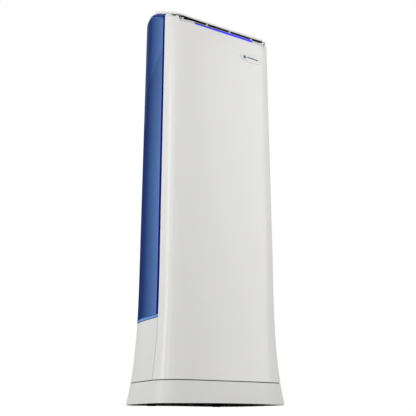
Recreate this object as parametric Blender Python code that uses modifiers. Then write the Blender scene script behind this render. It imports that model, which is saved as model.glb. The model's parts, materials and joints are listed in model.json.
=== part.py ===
"""Tower evaporative cooler: flared foot, wrap-around shells, side water tank, domed hood.

Metres, +Z up. The origin is on the ground at the centre of the footprint, the front
faces -Y and the water tank is in the -X flank.
"""
import math

import bmesh
import bpy
import numpy as np
from mathutils import Matrix, Vector

# Plan outline of the straight part of the body
HALF_WIDTH = 0.1675        # widest half width, on the line y = Y_WIDE
DEPTH_FRONT = 0.0996       # widest line to the front face
DEPTH_REAR = 0.1665        # widest line to the back
Y_WIDE = -0.0335           # where the widest line lies
SQUARE_FRONT = 6.5         # how square the front half of the outline is
SQUARE_FOOT = 5.0          # the same at the foot
SQUARE_REAR = 3.14         # how square the rear half is
FLARE = 0.0245             # how far the foot stands out
FLARE_TOP = 0.3895         # height at which the flare starts
FLARE_POWER = 3.44
WALL = 0.003               # moulded wall thickness
GAP = 0.0004               # working gap between neighbours
HOOD_GAP = 0.0009          # gap between the hood's edge and the shells

# Heights
FOOT_H = 0.0055
SKIRT_LOW = 0.0030
SKIRT_TOP = 0.0535
SHELL_LOW = 0.0560
TANK_LOW = 0.2075
RIM_Z = 1.0317             # top edge of the front shell under the air outlet
LIP_Z = 1.0512             # top of the hood at its front lip
LIP_Y = -0.1331            # front of the hood's lip
LIP_RISE = 0.0052          # extra rise just behind the lip
DOME_SLOPE = 0.58          # slope of the hood from the lip to the flat top
TOP_Z = 1.1405             # flat top of the hood
TOP_BLEND = 0.0040         # softness of the bend between slope and flat top
HOOD_DROP = 0.0105         # depth of the hood's edge on the flanks
HOOD_LIP = 0.0055          # depth of the hood's edge over the air outlet
SHOULDER = 0.0135          # rounding of the body under the hood
HOOD_INSET = 0.0125        # hood edge inside the flanks
HOOD_MID_Y = 0.0500        # centre of the rings that make the hood

# Flank tank
TANK_Y0 = -0.0783
TANK_Y1 = 0.0846
TANK_IN = -0.1150          # inner face of the tank
TANK_WALL = 0.0024
BAY_BACK = -0.1115         # face of the bay wall behind the tank
SPOUT_Y, SPOUT_Z = 0.003, 0.2270
CAP_Y, CAP_Z = 0.003, 1.0300

# Inner frame and rear cassette
FRAME_X = 0.0995
FRAME_Y0, FRAME_Y1 = -0.1000, 0.1080
FRAME_TOP = 0.8600
FLOOR_Z = 0.2460
CAS_X = 0.0960
CAS_Y0 = 0.0620
CAS_Z0, CAS_Z1 = 0.2550, 0.8060
GRILLE_X = 0.1035
GRILLE_Z0, GRILLE_Z1 = 0.2360, 0.8140

# Fan
FAN_Y = 0.004
FAN_R = 0.088
DECK_Z = 0.8604
WHEEL_Z0, WHEEL_Z1 = 0.8740, 0.9340
MOTOR_Z0, MOTOR_Z1 = 0.9380, 0.9880

# Pump and float
PUMP_X, PUMP_Y = 0.040, 0.020
FLOAT_X, FLOAT_Y, FLOAT_Z = -0.045, -0.060, 0.047

# Controls on the flat top
BUTTON_Y = 0.052
BUTTON_XS = (-0.039, -0.013, 0.013, 0.039)

SEAM_ANGLE = 0.2668        # seam between front and rear shells, measured from the X axis

for old in list(bpy.data.objects):
    bpy.data.objects.remove(old, do_unlink=True)

COLL = bpy.data.collections.new("evaporative_cooler")
bpy.context.scene.collection.children.link(COLL)
CUTTERS = bpy.data.collections.new("cutters")
bpy.context.scene.collection.children.link(CUTTERS)
MATERIALS = {}

# Rotations that carry an upright piece's local Z onto the named world axis
TURN = {
    "X": Matrix(((0, 0, 1), (1, 0, 0), (0, 1, 0))),
    "Y": Matrix(((0, 1, 0), (0, 0, 1), (1, 0, 0))),
    "Z": Matrix.Identity(3),
}


def material(name, colour, rough, metal=0.0, alpha=1.0, glow=None):
    """Principled material, made once per name."""
    if name in MATERIALS:
        return MATERIALS[name]
    mat = bpy.data.materials.new(name)
    mat.use_nodes = True
    shader = mat.node_tree.nodes["Principled BSDF"]
    shader.inputs["Base Color"].default_value = (*colour, 1.0)
    shader.inputs["Roughness"].default_value = rough
    shader.inputs["Metallic"].default_value = metal
    shader.inputs["Alpha"].default_value = alpha
    if glow:
        shader.inputs["Emission Color"].default_value = (*glow, 1.0)
        shader.inputs["Emission Strength"].default_value = 1.0
    MATERIALS[name] = mat
    return mat


def link_mesh(name, mesh, mat, origin=(0, 0, 0), smooth=None, coll=None):
    """Object for a mesh, placed at its origin, in the part's or the given collection."""
    if mat:
        mesh.materials.append(mat)
    obj = bpy.data.objects.new(name, mesh)
    obj.location = origin
    (coll or COLL).objects.link(obj)
    if smooth:
        mesh.shade_smooth()
        mesh.set_sharp_from_angle(angle=math.radians(smooth))
    return obj


def from_bmesh(name, bm, mat, origin=(0, 0, 0), smooth=None, coll=None):
    mesh = bpy.data.meshes.new(name)
    bm.to_mesh(mesh)
    bm.free()
    return link_mesh(name, mesh, mat, origin, smooth, coll)


def loft(name, verts, faces, mat, smooth=None, coll=None):
    """Closed mesh from the sections of a loft, with its faces turned outwards."""
    mesh = bpy.data.meshes.new(name)
    mesh.from_pydata(verts, [], faces)
    bm = bmesh.new()
    bm.from_mesh(mesh)
    bmesh.ops.recalc_face_normals(bm, faces=bm.faces)
    bm.to_mesh(mesh)
    bm.free()
    return link_mesh(name, mesh, mat, (0, 0, 0), smooth, coll)


def cut(obj, cutter, operation="DIFFERENCE"):
    """Exact Boolean of obj with a hidden cutter."""
    cutter.hide_render = True
    cutter.display_type = "WIRE"
    mod = obj.modifiers.new(cutter.name, "BOOLEAN")
    mod.object = cutter
    mod.operation = operation
    mod.solver = "EXACT"
    return mod


def bevel(obj, width, segments=2, angle=40):
    mod = obj.modifiers.new("bevel", "BEVEL")
    mod.width = width
    mod.segments = segments
    mod.limit_method = "ANGLE"
    mod.angle_limit = math.radians(angle)
    return mod


# ---------------------------------------------------------------- plan outline

def flare(z):
    return FLARE * max(0.0, 1.0 - z / FLARE_TOP) ** FLARE_POWER


def squareness(z):
    k = max(0.0, 1.0 - z / FLARE_TOP)
    return SQUARE_FRONT + (SQUARE_FOOT - SQUARE_FRONT) * k


def raw_point(theta, half_w, front, rear, power):
    c, s = math.cos(theta), math.sin(theta)
    depth, n = (front, power) if s < 0 else (rear, SQUARE_REAR)
    r = ((abs(c) / half_w) ** n + (abs(s) / depth) ** n) ** (-1.0 / n)
    return r * c, r * s


def plan(theta, z, inset=0.0, size=(HALF_WIDTH, DEPTH_FRONT, DEPTH_REAR)):
    """Point and outward normal of the outline at height z, moved in by inset."""
    n = squareness(z)
    x0, y0 = raw_point(theta - 1e-4, *size, n)
    x1, y1 = raw_point(theta + 1e-4, *size, n)
    x, y = raw_point(theta, *size, n)
    tx, ty = x1 - x0, y1 - y0
    length = math.hypot(tx, ty)
    nx, ny = ty / length, -tx / length
    out = flare(z) - inset
    return x + nx * out, y + ny * out + Y_WIDE, nx, ny


def dome(y):
    """Height of the hood's top over the line y: a lip, an even slope, then a flat top."""
    run = max(0.0, y - LIP_Y)
    slope = LIP_Z + LIP_RISE * (1.0 - math.exp(-run / 0.012)) + DOME_SLOPE * run
    return TOP_Z - TOP_BLEND * math.log1p(math.exp((TOP_Z - slope) / TOP_BLEND))


def spread(theta0, theta1, turn=9.5, chord=0.045, sag=0.0006):
    """Angles from theta0 to theta1, closer together where the outline or the hood bends."""
    dense = np.linspace(theta0, theta1, 1600)
    pts = [plan(t, 0.6) for t in dense]
    picked = [0]
    for i in range(1, len(dense)):
        a, b = pts[picked[-1]], pts[i]
        dot = max(-1.0, min(1.0, a[2] * b[2] + a[3] * b[3]))
        bend = abs(dome((a[1] + b[1]) / 2) - (dome(a[1]) + dome(b[1])) / 2)
        far = math.hypot(b[0] - a[0], b[1] - a[1]) > chord
        if math.degrees(math.acos(dot)) > turn or far or bend > sag:
            picked.append(i)
    if len(dense) - 1 - picked[-1] < 12:
        picked.pop()
    picked.append(len(dense) - 1)
    return [float(dense[i]) for i in picked]


FRONT_ARC = spread(math.pi + SEAM_ANGLE, 2 * math.pi - SEAM_ANGLE)
REAR_ARC = spread(-SEAM_ANGLE, math.pi + SEAM_ANGLE)
FULL_RING = REAR_ARC[:-1] + FRONT_ARC[:-1]


def corner_rise(nx, ny):
    """0 along the outlet, 1 once the shell's edge has climbed to the hood past its ends."""
    if ny > 0:
        return 1.0
    k = min(1.0, max(0.0, (abs(nx) - 0.40) / 0.22))
    return k * k * (3.0 - 2.0 * k)


def flank_weight(nx, ny):
    """0 on the front face, 1 on the flanks and back."""
    if ny > 0:
        return 1.0
    k = min(1.0, max(0.0, (abs(nx) - 0.35) / 0.55))
    return k * k * (3.0 - 2.0 * k)


def side_x(y, z, inset=0.0):
    """X of the -X flank at y."""
    ts = np.linspace(math.pi * 0.62, math.pi * 1.16, 220)
    pts = [plan(float(t), z, inset) for t in ts]
    return float(np.interp(-y, [-p[1] for p in pts], [p[0] for p in pts]))


def rear_y(x, z, inset=0.0):
    ts = np.linspace(0.08, math.pi - 0.08, 260)
    pts = [plan(float(t), z, inset) for t in ts]
    return float(np.interp(-x, [-p[0] for p in pts], [p[1] for p in pts]))


def front_y(x, z, inset=0.0):
    ts = np.linspace(math.pi + 0.2, 2 * math.pi - 0.2, 260)
    pts = [plan(float(t), z, inset) for t in ts]
    return float(np.interp(x, [p[0] for p in pts], [p[1] for p in pts]))


# ---------------------------------------------------------------- mesh builders

def wall(name, outer, inner, mat, closed, smooth=40, coll=None):
    """Closed solid between an outer and an inner grid of points, levels by columns."""
    levels, cols = len(outer), len(outer[0])
    verts = [p for row in outer for p in row] + [p for row in inner for p in row]
    base = levels * cols
    faces = []
    last = cols if closed else cols - 1
    for k in range(levels - 1):
        for i in range(last):
            j = (i + 1) % cols
            a, b, c, d = k * cols + i, k * cols + j, (k + 1) * cols + j, (k + 1) * cols + i
            faces.append((a, b, c, d))
            faces.append((base + d, base + c, base + b, base + a))
    top = (levels - 1) * cols
    for i in range(last):
        j = (i + 1) % cols
        faces.append((j, i, base + i, base + j))
        faces.append((top + i, top + j, base + top + j, base + top + i))
    if not closed:
        for k in range(levels - 1):
            a, d = k * cols, (k + 1) * cols
            faces.append((a, d, base + d, base + a))
            b, c = a + cols - 1, d + cols - 1
            faces.append((b, base + b, base + c, c))
    return loft(name, verts, faces, mat, smooth, coll)


def boxes(name, items, mat=None, origin=(0, 0, 0), coll=None):
    """One or more separate boxes, each x0, x1, y0, y1, z0, z1, in one mesh."""
    bm = bmesh.new()
    for x0, x1, y0, y1, z0, z1 in items:
        middle = Vector((x0 + x1, y0 + y1, z0 + z1)) / 2 - Vector(origin)
        size = Matrix.Diagonal((x1 - x0, y1 - y0, z1 - z0, 1.0))
        bmesh.ops.create_cube(bm, size=1.0, matrix=Matrix.Translation(middle) @ size)
    return from_bmesh(name, bm, mat, origin, None, coll)


def box(name, x0, x1, y0, y1, z0, z1, mat=None, origin=(0, 0, 0), coll=None):
    return boxes(name, [(x0, x1, y0, y1, z0, z1)], mat, origin, coll)


def prisms(name, outlines, z0, z1, mat=None, coll=None):
    """Upright prisms over one or more separate plan outlines, in one mesh."""
    bm = bmesh.new()
    for outline in outlines:
        face = bm.faces.new([bm.verts.new((x, y, z0)) for x, y in outline])
        raised = bmesh.ops.extrude_face_region(bm, geom=[face], use_keep_orig=True)["geom"]
        bmesh.ops.translate(bm, vec=(0, 0, z1 - z0),
                            verts=[g for g in raised if isinstance(g, bmesh.types.BMVert)])
    bmesh.ops.recalc_face_normals(bm, faces=bm.faces)
    return from_bmesh(name, bm, mat, (0, 0, 0), None, coll)


def cylinder(name, centre, axis, r, h0, h1, mat=None, seg=24, coll=None):
    """Cylinder about an axis through centre, from h0 to h1 along it."""
    bm = bmesh.new()
    bmesh.ops.create_cone(bm, cap_ends=True, segments=seg, radius1=r, radius2=r, depth=h1 - h0,
                          matrix=Matrix.Translation((0, 0, (h0 + h1) / 2)))
    obj = from_bmesh(name, bm, mat, centre, 35, coll)
    obj.rotation_euler = TURN[axis].to_euler()
    return obj


def lathe(name, profile, centre, axis, mat=None, seg=24, origin=None, coll=None):
    """Turned solid: a profile of (radius, height along the axis) with a Screw modifier.

    The profile starts and ends on the axis, or else it closes on itself.
    """
    origin = Vector(origin or centre)
    base = (origin - Vector(centre)) @ TURN[axis].col[2]
    ring = profile[1:] + profile[:1]
    rising = sum(a[0] * b[1] - b[0] * a[1] for a, b in zip(profile, ring)) > 0
    points = profile[::-1] if rising else profile
    edges = [(i, i + 1) for i in range(len(points) - 1)]
    if min(r for r, _ in points) > 0:
        edges.append((len(points) - 1, 0))
    mesh = bpy.data.meshes.new(name)
    mesh.from_pydata([(r, 0.0, h - base) for r, h in points], edges, [])
    obj = link_mesh(name, mesh, mat, origin, None, coll)
    obj.rotation_euler = TURN[axis].to_euler()
    screw = obj.modifiers.new("turn", "SCREW")
    screw.axis = "Z"
    screw.steps = screw.render_steps = seg
    screw.use_merge_vertices = True
    screw.merge_threshold = 0.00001
    return obj


def tube(name, path, radius, mat, hollow=0.0, resolution=2):
    """Round lead along a path; with a hollow wall thickness it is an open hose."""
    curve = bpy.data.curves.new(name, "CURVE")
    curve.dimensions = "3D"
    curve.bevel_depth = radius
    curve.bevel_resolution = resolution
    curve.use_fill_caps = not hollow
    spline = curve.splines.new("POLY")
    spline.points.add(len(path) - 1)
    for point, place in zip(spline.points, path):
        point.co = (*place, 1.0)
    curve.materials.append(mat)
    obj = bpy.data.objects.new(name, curve)
    COLL.objects.link(obj)
    if hollow:
        sheet = obj.modifiers.new("wall", "SOLIDIFY")
        sheet.thickness = hollow
        sheet.offset = -1.0
    return obj


def round_path(corners, radius, steps=4):
    """Corner points with each inner corner rounded."""
    pts = [np.array(c, float) for c in corners]
    out = [pts[0]]
    for i in range(1, len(pts) - 1):
        a = pts[i] + radius * (pts[i - 1] - pts[i]) / np.linalg.norm(pts[i - 1] - pts[i])
        b = pts[i] + radius * (pts[i + 1] - pts[i]) / np.linalg.norm(pts[i + 1] - pts[i])
        for k in range(steps + 1):
            t = k / steps
            out.append((1 - t) ** 2 * a + 2 * t * (1 - t) * pts[i] + t * t * b)
    out.append(pts[-1])
    return [tuple(p) for p in out]


# ---------------------------------------------------------------- foot and pan

def flare_levels(z0, z1):
    mids = [z for z in (0.018, 0.036, 0.075, 0.10, 0.13, 0.17, 0.22, 0.29) if z0 < z < z1]
    return [z0] + mids + ([FLARE_TOP] if z0 < FLARE_TOP < z1 else []) + [z1]


def build_skirt(mat):
    def low(x):
        return SKIRT_LOW + 0.0022 * max(0.0, 1.0 - (x / 0.13) ** 2)
    outer, inner = [], []
    for k, z in enumerate(flare_levels(SKIRT_LOW, SKIRT_TOP)):
        rows = []
        for inset in (0.0, WALL):
            row = []
            for t in FULL_RING:
                x, y, _, _ = plan(t, z, inset)
                row.append((x, y, low(x) if k == 0 else z))
            rows.append(row)
        outer.append(rows[0])
        inner.append(rows[1])
    skirt = wall("base_skirt", outer, inner, mat, True)
    hole = cylinder("skirt_plug_hole", (0.085, 0, 0.026), "Y", 0.0125, 0.10, 0.20, coll=CUTTERS)
    cut(skirt, hole)
    return skirt


def build_pan(mat):
    """Water sump with a rim that locates the skirt and the shells."""
    def ring(z_plan, z, inset):
        return [(*plan(t, z_plan, inset)[:2], z) for t in FULL_RING]
    outer = [ring(0.05, 0.0060, 0.0160), ring(0.05, 0.0420, 0.0125),
             ring(0.0470, 0.0470, WALL + GAP), ring(0.0620, 0.0620, WALL + GAP)]
    inner = [ring(0.05, 0.0090, 0.0190), ring(0.05, 0.0440, 0.0155),
             ring(0.0495, 0.0495, WALL + GAP + 0.003), ring(0.0620, 0.0620, WALL + GAP + 0.003)]
    n = len(FULL_RING)
    verts = [p for row in outer for p in row] + [p for row in inner for p in row]
    base = 4 * n
    faces = [tuple(range(n))[::-1], tuple(range(base, base + n))]
    for k in range(3):
        for i in range(n):
            j = (i + 1) % n
            faces.append((k * n + i, k * n + j, (k + 1) * n + j, (k + 1) * n + i))
            faces.append((base + (k + 1) * n + i, base + (k + 1) * n + j,
                          base + k * n + j, base + k * n + i))
    for i in range(n):
        j = (i + 1) % n
        faces.append((3 * n + i, 3 * n + j, base + 3 * n + j, base + 3 * n + i))
    pan = loft("base_pan", verts, faces, mat, 35)
    cut(pan, cylinder("pan_plug_hole", (0.085, 0, 0.026), "Y", 0.0080, 0.08, 0.20, coll=CUTTERS))
    return pan


def build_feet(mat):
    for i, (x, y) in enumerate(((-0.120, -0.092), (0.120, -0.092), (-0.100, 0.088), (0.100, 0.088))):
        lathe(f"foot_{i + 1}", [(0, 0), (0.0115, 0), (0.0125, 0.0012), (0.0125, FOOT_H),
                                (0, FOOT_H)], (x, y, 0), "Z", mat, 20)


# ---------------------------------------------------------------- shells

def shoulder_levels(theta):
    """Outer (inset, z) pairs that carry the wall over its rounded shoulder."""
    x, y, nx, ny = plan(theta, 0.6)
    w, climb = flank_weight(nx, ny), corner_rise(nx, ny)
    under_hood = dome(y) - HOOD_LIP - (HOOD_DROP - HOOD_LIP) * w - HOOD_GAP
    edge = RIM_Z * (1.0 - climb) + climb * under_hood
    out = []
    for a in (0.0, 22.5, 45.0, 67.5, 90.0):
        ra = math.radians(a)
        inset = w * SHOULDER * (1.0 - math.cos(ra))
        rise = SHOULDER * math.sin(ra) * w + (1.0 - w) * 0.0145 * a / 90.0
        out.append((inset, edge - (SHOULDER * w + (1.0 - w) * 0.0145) + rise))
    return out


def build_shell(name, arc, mat):
    outer, inner = [], []
    for z in flare_levels(SHELL_LOW, 0.92):
        outer.append([(*plan(t, z)[:2], z) for t in arc])
        inner.append([(*plan(t, z, WALL)[:2], z) for t in arc])
    for k in range(5):
        row_o, row_i = [], []
        for t in arc:
            inset, z = shoulder_levels(t)[k]
            _, _, nx, ny = plan(t, 0.6)
            w = flank_weight(nx, ny)
            ang = math.radians(22.5 * k) * w
            row_o.append((*plan(t, 0.6, inset)[:2], z))
            row_i.append((*plan(t, 0.6, inset + WALL * math.cos(ang))[:2], z - WALL * math.sin(ang)))
        outer.append(row_o)
        inner.append(row_i)
    return wall(name, outer, inner, mat, False, smooth=30)


def build_rear_shell(mat):
    arc = REAR_ARC[:]
    arc[0] += 0.0028
    arc[-1] -= 0.0028
    shell = build_shell("rear_shell", arc, mat)
    cut(shell, boxes("rear_shell_windows", [
        (-0.30, -0.1200, -0.12, TANK_Y1 + 0.0006, TANK_LOW - 0.0006, 1.30),
        (-GRILLE_X - 0.0006, GRILLE_X + 0.0006, 0.06, 0.30, GRILLE_Z0 - 0.0006, GRILLE_Z1 + 0.0006),
        (-0.0845, -0.0555, 0.06, 0.30, 0.1045, 0.1275),
    ], coll=CUTTERS))
    return shell


def build_hood(mat):
    size = (HALF_WIDTH - HOOD_INSET, DEPTH_FRONT - 0.0008, DEPTH_REAR - HOOD_INSET)
    ring = FULL_RING
    def edge(inset, below):
        row = []
        for t in ring:
            x, y, nx, ny = plan(t, 0.6, inset, size)
            row.append((x, y, dome(y) - below(flank_weight(nx, ny))))
        return row
    def drop(w):
        return HOOD_LIP + (HOOD_DROP - HOOD_LIP) * w
    rows = [edge(0.0, drop), edge(0.0, lambda w: 0.0026), edge(0.0008, lambda w: 0.0008),
            edge(0.0028, lambda w: 0.0)]
    def scaled(s, inset, lower):
        row = []
        for t in ring:
            x, y, _, _ = plan(t, 0.6, inset, size)
            x, y = x * s, HOOD_MID_Y + (y - HOOD_MID_Y) * s
            row.append((x, y, dome(y) - lower))
        return row
    rows += [scaled(s, 0.0028, 0.0) for s in (0.86, 0.64, 0.44, 0.32, 0.25, 0.18)]
    inner = [scaled(s, 0.0028, WALL) for s in (0.18, 0.25, 0.32, 0.44, 0.64, 0.86)]
    inner += [edge(0.0032, lambda w: 0.0040), edge(0.0030, drop)]
    rows_all = rows + [None] + inner
    n = len(ring)
    verts, starts = [], []
    for row in rows_all:
        starts.append(len(verts))
        if row is None:
            verts.append((0, HOOD_MID_Y, dome(HOOD_MID_Y)))
            verts.append((0, HOOD_MID_Y, dome(HOOD_MID_Y) - WALL))
        else:
            verts += row
    mid = len(rows)
    faces = []
    def band(a, b):
        for i in range(n):
            j = (i + 1) % n
            faces.append((a + i, a + j, b + j, b + i))
    for k in range(mid - 1):
        band(starts[k], starts[k + 1])
    for k in range(mid + 1, len(rows_all) - 1):
        band(starts[k], starts[k + 1])
    band(starts[-1], starts[0])
    for i in range(n):
        j = (i + 1) % n
        faces.append((starts[mid - 1] + i, starts[mid - 1] + j, starts[mid]))
        faces.append((starts[mid + 1] + i, starts[mid + 1] + j, starts[mid] + 1))
    hood = loft("hood", verts, faces, mat, 35)
    for i, x in enumerate(BUTTON_XS):
        cut(hood, cylinder(f"hood_hole_{i + 1}", (x, BUTTON_Y, 1.0), "Z", 0.0082, 0.05, 0.20,
                           seg=20, coll=CUTTERS))
    return hood


def front_bar(name, x0, x1, inset0, inset1, z0, z1, mat, step=0.024):
    count = max(3, int((x1 - x0) / step) + 1)
    xs = [x0 + (x1 - x0) * i / (count - 1) for i in range(count)]
    y_ref = 0.6
    outer = [[(x, front_y(x, y_ref) + inset0, z) for x in xs] for z in (z0, z1)]
    inner = [[(x, front_y(x, y_ref) + inset1, z) for x in xs] for z in (z0, z1)]
    return wall(name, outer, inner, mat, False, smooth=30)


def build_mouth(frame_mat, led_mat):
    frame = front_bar("mouth_frame", -0.1420, 0.1420, 0.0008, 0.0135, RIM_Z + GAP, 1.0454,
                      frame_mat)
    posts = (-0.1350, -0.0590, 0.0170, 0.0930)
    edges = [-0.1405] + [p + s for p in posts for s in (-0.0018, 0.0018)] + [0.1405]
    slots = [(edges[i], edges[i + 1], -0.2, 0.0, 1.0398, 1.06) for i in range(0, len(edges), 2)]
    slots.append((-0.0994, 0.0964, -0.2, -0.1276, 1.02, 1.0392))
    cut(frame, boxes("mouth_slots", slots, coll=CUTTERS))
    front_bar("led_bar", -0.0990, 0.0960, 0.0008, 0.0048, RIM_Z + 0.0007, 1.0388, led_mat)
    return frame


def build_badge(mat):
    """Plain oval plate that follows the front face."""
    cx, cz, rx, rz = 0.0900, 0.9760, 0.0380, 0.0135
    seg = 28
    front, back = [], []
    for i in range(seg):
        a = 2 * math.pi * i / seg
        x, z = cx + rx * math.cos(a), cz + rz * math.sin(a)
        y = front_y(x, 0.6)
        front.append((x, y - 0.0016, z))
        back.append((x, y - 0.0004, z))
    inner_f = [(cx + (x - cx) * 0.9, front_y(cx + (x - cx) * 0.9, 0.6) - 0.0020, cz + (z - cz) * 0.84)
               for x, _, z in front]
    n = seg
    ring_mid = []
    for s in (0.5,):
        ring_mid = [(cx + (x - cx) * s, front_y(cx + (x - cx) * s, 0.6) - 0.0020, cz + (z - cz) * s)
                    for x, _, z in front]
    ring_back = [(cx + (x - cx) * 0.5, front_y(cx + (x - cx) * 0.5, 0.6) - 0.0004, cz + (z - cz) * 0.5)
                 for x, _, z in front]
    mid_y = front_y(cx, 0.6)
    verts = back + front + inner_f + ring_mid + [(cx, mid_y - 0.0020, cz)] + ring_back
    verts += [(cx, mid_y - 0.0004, cz)]
    tip = 4 * n
    back0 = tip + 1
    tail = back0 + n
    faces = []
    for i in range(n):
        j = (i + 1) % n
        for k in range(3):
            faces.append((k * n + i, k * n + j, (k + 1) * n + j, (k + 1) * n + i))
        faces.append((3 * n + i, 3 * n + j, tip))
        faces.append((i, j, back0 + j, back0 + i))
        faces.append((back0 + i, back0 + j, tail))
    return loft("badge", verts, faces, mat, 30)


# ---------------------------------------------------------------- tank

def tank_stations(inset):
    """Y stations across the tank, closer together under the bend of the hood."""
    ends = np.linspace(TANK_Y0 + inset, TANK_Y1 - inset, 7)
    bend = np.linspace(-0.016, 0.018, 6)
    far = [y for y in ends if min(abs(bend - y)) > 0.004]
    return [float(y) for y in sorted([*far, *bend])]


def tank_top(y, inset):
    return dome(y) - HOOD_DROP - GAP - 0.0016 - inset


def tank_grid(inset, inner_x):
    """Columns of points across the tank, from its outer skin to its inner side."""
    outer, inner = [], []
    radius = SHOULDER + 0.0015
    for y in tank_stations(inset):
        out_col, in_col = [], []
        for z in (TANK_LOW + inset, 0.25, 0.30, FLARE_TOP):
            out_col.append((side_x(y, z) + inset * 1.25, y, z))
            in_col.append((inner_x, y, z))
        x_face = side_x(y, 0.6) + inset * 1.25
        for a in (0, 22.5, 45, 67.5, 90):
            ra = math.radians(a)
            z = tank_top(y, inset) - radius + radius * math.sin(ra)
            out_col.append((x_face + radius * (1 - math.cos(ra)), y, z))
            in_col.append((inner_x, y, z))
        outer.append(out_col)
        inner.append(in_col)
    return outer, inner


def build_tank(tank_mat, fitting_mat, seal_mat):
    """Outer moulding of the tank, the cover welded into its inner side, and the fittings."""
    tank = wall("tank_body", *tank_grid(0.0, TANK_IN), tank_mat, False, smooth=30)
    cut(tank, wall("tank_cavity", *tank_grid(TANK_WALL, TANK_IN + 0.010), None, False, smooth=None,
                   coll=CUTTERS))
    rim = TANK_WALL + GAP
    sheets = []
    for x in (TANK_IN - TANK_WALL, TANK_IN):
        sheets.append([[(x, y, z) for z in (TANK_LOW + rim, tank_top(y, rim))]
                       for y in tank_stations(rim)])
    back = wall("tank_back", *sheets, tank_mat, False, smooth=30)
    cut(back, cylinder("tank_filler", (0, CAP_Y, CAP_Z), "X", 0.0165, TANK_IN - 0.008,
                       TANK_IN + 0.01, coll=CUTTERS))
    cut(back, cylinder("tank_outlet", (0, SPOUT_Y, SPOUT_Z), "X", 0.0098, TANK_IN - 0.008,
                       TANK_IN + 0.01, seg=20, coll=CUTTERS))
    x = TANK_IN
    lathe("tank_spout", [(0.0055, x - 0.006), (0.0094, x - 0.006), (0.0094, x + 0.0003),
                         (0.0135, x + 0.0003), (0.0135, x + 0.0020), (0.0094, x + 0.0020),
                         (0.0094, x + 0.0220), (0.0068, x + 0.0220), (0.0068, x + 0.0060),
                         (0.0055, x + 0.0060)],
          (0, SPOUT_Y, SPOUT_Z), "X", fitting_mat, 24)
    lathe("valve_pin", [(0, x - 0.0110), (0.0075, x - 0.0110), (0.0075, x - 0.0075),
                        (0.0022, x - 0.0066), (0.0022, x + 0.0180), (0, x + 0.0180)],
          (0, SPOUT_Y, SPOUT_Z), "X", seal_mat, 20, origin=(x, SPOUT_Y, SPOUT_Z))
    cap = lathe("tank_cap", [(0, x - 0.0072), (0.0120, x - 0.0072), (0.0120, x - 0.0075),
                             (0.0160, x - 0.0075), (0.0160, x + 0.0004), (0.0205, x + 0.0004),
                             (0.0205, x + 0.0024), (0.0, x + 0.0024)],
                (0, CAP_Y, CAP_Z), "X", fitting_mat, 28, origin=(x, CAP_Y, CAP_Z))
    grip = boxes("cap_grip_cut", [(x - 0.0035, x + 0.01, CAP_Y - 0.013, CAP_Y + 0.013,
                                   CAP_Z + s * 0.0065 - 0.0035, CAP_Z + s * 0.0065 + 0.0035)
                                  for s in (-1, 1)], coll=CUTTERS)
    cut(cap, grip)
    return tank


def build_bay(mat, fitting_mat):
    """Liner behind the tank: back wall, two side walls and a floor."""
    y0, y1 = TANK_Y0 - 0.0006, TANK_Y1 + 0.0006
    x_front = side_x(y0 - 0.002, 0.6, WALL + GAP) + 0.0004
    x_rear = side_x(y1 + 0.002, 0.6, WALL + GAP) + 0.0004
    poly = [(x_front, y0 - 0.002), (BAY_BACK + 0.002, y0 - 0.002), (BAY_BACK + 0.002, y1 + 0.002),
            (x_rear, y1 + 0.002)]
    bay = prisms("tank_bay", [poly], TANK_LOW - 0.0030, 1.0560, mat)
    cut(bay, box("bay_hollow", -0.30, BAY_BACK, y0, y1, TANK_LOW - 0.0005, 1.30, coll=CUTTERS))
    cut(bay, cylinder("bay_spout_hole", (0, SPOUT_Y, SPOUT_Z), "X", 0.0145, BAY_BACK - 0.01,
                      BAY_BACK + 0.01, coll=CUTTERS))
    x = BAY_BACK
    socket = lathe("tank_socket", [(0.0, x + 0.0270), (0.0102, x + 0.0270), (0.0102, x - 0.0012),
                                   (0.0140, x - 0.0012), (0.0140, x + 0.0024),
                                   (0.0185, x + 0.0024), (0.0185, x + 0.0045),
                                   (0.0140, x + 0.0045), (0.0140, x + 0.0300),
                                   (0.0, x + 0.0300)],
          (0, SPOUT_Y, SPOUT_Z), "X", fitting_mat, 24)
    cut(socket,
        cylinder("socket_drain", (x + 0.022, SPOUT_Y, SPOUT_Z - 0.012), "Z", 0.0035, -0.01, 0.008,
                 seg=16, coll=CUTTERS))
    return bay


# ---------------------------------------------------------------- frame, pad and pump

def build_frame(mat):
    frame = box("inner_frame", -FRAME_X, FRAME_X, FRAME_Y0, FRAME_Y1, 0.0094, FRAME_TOP, mat)
    t = 0.002
    ix, iy0, iy1 = FRAME_X - t, FRAME_Y0 + t, FRAME_Y1 - t
    cut(frame, boxes("frame_hollows", [
        (-ix, ix, iy0, iy1, FLOOR_Z + 0.003, 0.90),
        (-ix, ix, iy0, iy1, -0.01, FLOOR_Z),
    ], coll=CUTTERS))
    cut(frame, boxes("frame_windows_y", [
        (-0.0770, 0.0770, -0.20, 0.20, -0.01, 0.2340)], coll=CUTTERS))
    cut(frame, boxes("frame_windows_x", [
        (-0.20, 0.20, -0.0780, 0.0860, -0.01, 0.2420)], coll=CUTTERS))
    cut(frame, box("frame_rear_window", -ix, ix, 0.05, 0.20, FLOOR_Z + 0.003, CAS_Z1 + 0.0015,
                   coll=CUTTERS))
    cut(frame, box("frame_drain", -0.080, 0.080, 0.068, 0.100, FLOOR_Z - 0.01, FLOOR_Z + 0.01,
                   coll=CUTTERS))
    cut(frame, cylinder("frame_hose_hole", (0.084, 0.030, FLOOR_Z), "Z", 0.0060, -0.02, 0.02,
                        seg=16, coll=CUTTERS))
    return frame


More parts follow.
